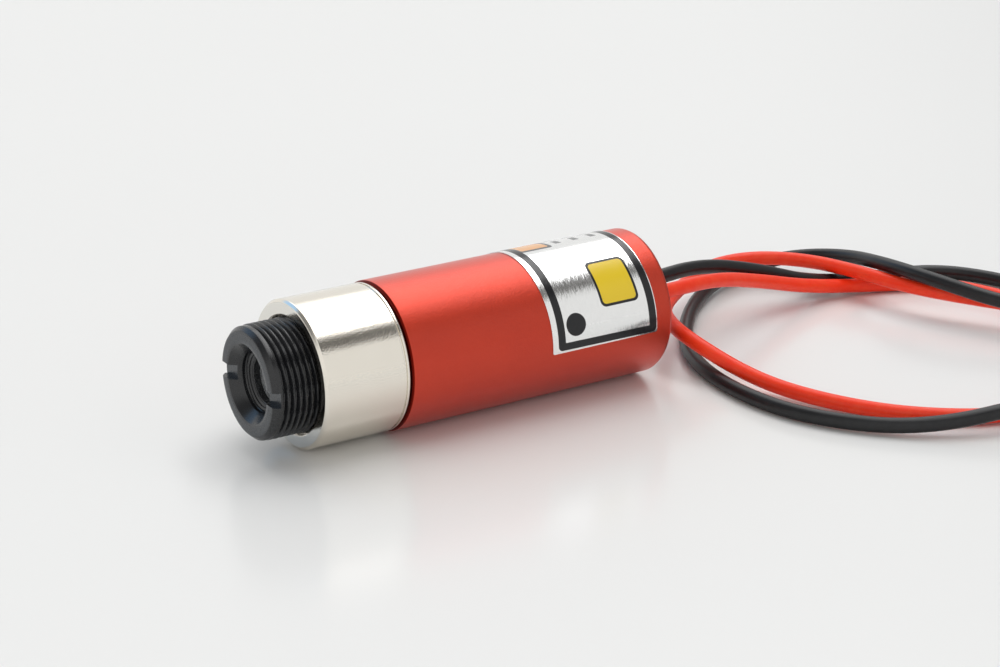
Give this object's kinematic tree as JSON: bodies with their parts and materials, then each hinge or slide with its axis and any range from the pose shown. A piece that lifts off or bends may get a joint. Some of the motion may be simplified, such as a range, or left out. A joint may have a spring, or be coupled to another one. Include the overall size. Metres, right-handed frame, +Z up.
{
  "type": "laser diode module",
  "caption": "Slim laser diode module: a red anodised barrel with a plated head, a screw-in focusing lens holder and loose red and black hook-up wires.",
  "frame": {"origin": "on the table, under the middle of the module's length, wires left out", "axes": "+X along the barrel's axis from the lens to the wires, so the beam leaves towards -X; +Z up; the axis is 6 mm above the table"},
  "size_m": [0.1001, 0.0464, 0.0121],
  "materials": {
    "black_anodised": "black anodised, satin, bright land behind the face",
    "lens_glass": "polished and coated",
    "spring_steel": "bright drawn wire",
    "nickel_plate": "polished nickel plate on turned brass",
    "turned_brass": "turned, plain",
    "gold_plate": "gold plate",
    "semiconductor": "polished crystal",
    "seal_glass": "fused bead",
    "cap_steel": "drawn, nickel plate",
    "red_anodised": "satin red anodised, fine lathe lines",
    "label_foil": "metallised film, black border and plain printed patches",
    "board_green": "solder mask",
    "chip_moulding": "moulded epoxy",
    "tinned_copper": "tinned",
    "capacitor_ceramic": "fired, tinned ends",
    "resistor_ceramic": "coated, tinned ends",
    "tantalum_moulding": "moulded, dark band",
    "solder": "bright fillet",
    "sleeve_plastic": "polyester film tube",
    "plug_plastic": "moulded, matt",
    "black_insulation": "soft sheen",
    "red_insulation": "soft sheen"
  },
  "bodies": {
    "module": {"head": "nickel_plate", "diode_clamp_ring": "turned_brass", "diode_stem": "gold_plate", "laser_chip": "semiconductor", "monitor_chip": "semiconductor", "lead_seals": "seal_glass", "diode_leads": "gold_plate", "diode_cap": "cap_steel", "diode_window": "lens_glass", "barrel": "red_anodised", "foil_label": "label_foil", "driver_board": "board_green", "driver_chip": "chip_moulding", "transistor": "chip_moulding", "component_legs": "tinned_copper", "capacitors": "capacitor_ceramic", "resistors": "resistor_ceramic", "tantalum_capacitor": "tantalum_moulding", "inner_strands": "tinned_copper", "solder_joints": "solder", "board_sleeve": "sleeve_plastic", "rear_plug": "plug_plastic", "wire_black": "black_insulation", "wire_red": "red_insulation", "wire_tip_black": "tinned_copper", "wire_tip_red": "tinned_copper"},
    "focus_slide": {"focus_spring": "spring_steel"},
    "lens_cell": {"lens_holder": "black_anodised", "collimating_lens": "lens_glass", "lens_ring": "black_anodised"}
  },
  "joints": [
    {"name": "focus_travel", "type": "slide", "parent": "module", "child": "focus_slide", "axis": [1, 0, 0], "range_m": [-0.001, 0.0015], "deforming": ["focus_spring"]},
    {"name": "focus_turn", "type": "hinge", "parent": "focus_slide", "child": "lens_cell", "pos_m": [-0.01, 0, 0.006], "axis": [1, 0, 0], "range_deg": [-720, 1080]}
  ],
  "couplings": [
    {"joint": "focus_turn", "follows": "focus_travel", "rad_per_m": 12566}
  ]
}
